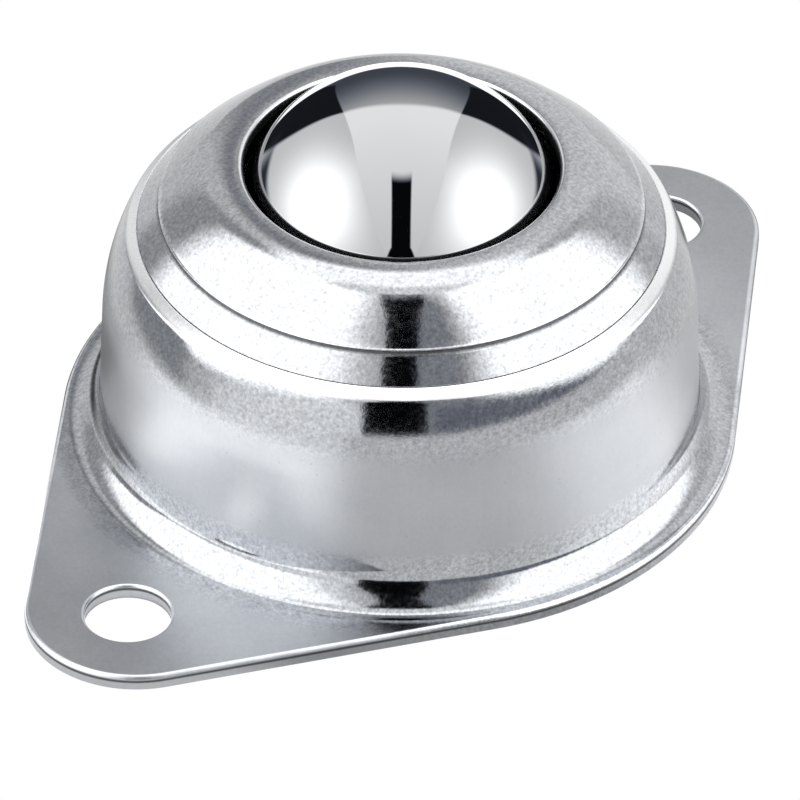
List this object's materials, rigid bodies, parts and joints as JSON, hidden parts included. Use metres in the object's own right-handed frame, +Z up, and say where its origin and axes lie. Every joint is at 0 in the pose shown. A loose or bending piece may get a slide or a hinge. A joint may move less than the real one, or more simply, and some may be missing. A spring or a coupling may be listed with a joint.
{
  "type": "ball transfer unit",
  "caption": "Ball transfer unit: a polished steel load ball that rolls freely in a domed round housing on a flat oval mounting flange.",
  "frame": {"origin": "centre of the flange's underside, on the axis of the round housing; z = 0 is the surface that the unit is bolted to", "axes": "+Z up along the housing's axis towards the load ball; +X along the flange through both bolt holes"},
  "size_m": [0.0792, 0.052, 0.0318],
  "materials": {
    "plated_housing": "satin",
    "plated_cap": "satin",
    "plated_base": "satin",
    "hardened_race": "ground",
    "polished_ball": "mirror",
    "bearing_balls": "mirror"
  },
  "bodies": {
    "housing": {"flange_housing": "plated_housing", "top_cap": "plated_cap", "race_cup": "hardened_race", "bottom_plate": "plated_base"},
    "support_balls": {"support_ball_01": "bearing_balls", "support_ball_02": "bearing_balls", "support_ball_03": "bearing_balls", "support_ball_04": "bearing_balls", "support_ball_05": "bearing_balls", "support_ball_06": "bearing_balls", "support_ball_07": "bearing_balls", "support_ball_08": "bearing_balls", "support_ball_09": "bearing_balls", "support_ball_10": "bearing_balls", "support_ball_11": "bearing_balls", "support_ball_12": "bearing_balls", "support_ball_13": "bearing_balls", "support_ball_14": "bearing_balls", "support_ball_15": "bearing_balls", "support_ball_16": "bearing_balls", "support_ball_17": "bearing_balls", "support_ball_18": "bearing_balls", "support_ball_19": "bearing_balls", "support_ball_20": "bearing_balls", "support_ball_21": "bearing_balls", "support_ball_22": "bearing_balls", "support_ball_23": "bearing_balls", "support_ball_24": "bearing_balls", "support_ball_25": "bearing_balls", "support_ball_26": "bearing_balls", "support_ball_27": "bearing_balls", "support_ball_28": "bearing_balls", "support_ball_29": "bearing_balls", "support_ball_30": "bearing_balls", "support_ball_31": "bearing_balls", "support_ball_32": "bearing_balls", "support_ball_33": "bearing_balls", "support_ball_34": "bearing_balls", "support_ball_35": "bearing_balls", "support_ball_36": "bearing_balls", "support_ball_37": "bearing_balls", "support_ball_38": "bearing_balls", "support_ball_39": "bearing_balls", "support_ball_40": "bearing_balls", "support_ball_41": "bearing_balls", "support_ball_42": "bearing_balls", "support_ball_43": "bearing_balls", "support_ball_44": "bearing_balls", "support_ball_45": "bearing_balls", "support_ball_46": "bearing_balls", "support_ball_47": "bearing_balls", "support_ball_48": "bearing_balls", "support_ball_49": "bearing_balls", "support_ball_50": "bearing_balls", "support_ball_51": "bearing_balls", "support_ball_52": "bearing_balls"},
    "load_ball": {"main_ball": "polished_ball"}
  },
  "joints": [
    {"name": "ball_set_turn", "type": "hinge", "parent": "housing", "child": "support_balls", "pos_m": [0, 0, 0.0191], "axis": [0, 0, 1], "continuous": true},
    {"name": "load_ball_roll", "type": "hinge", "parent": "support_balls", "child": "load_ball", "pos_m": [0, 0, 0.0191], "axis": [1, 0, 0], "continuous": true}
  ]
}
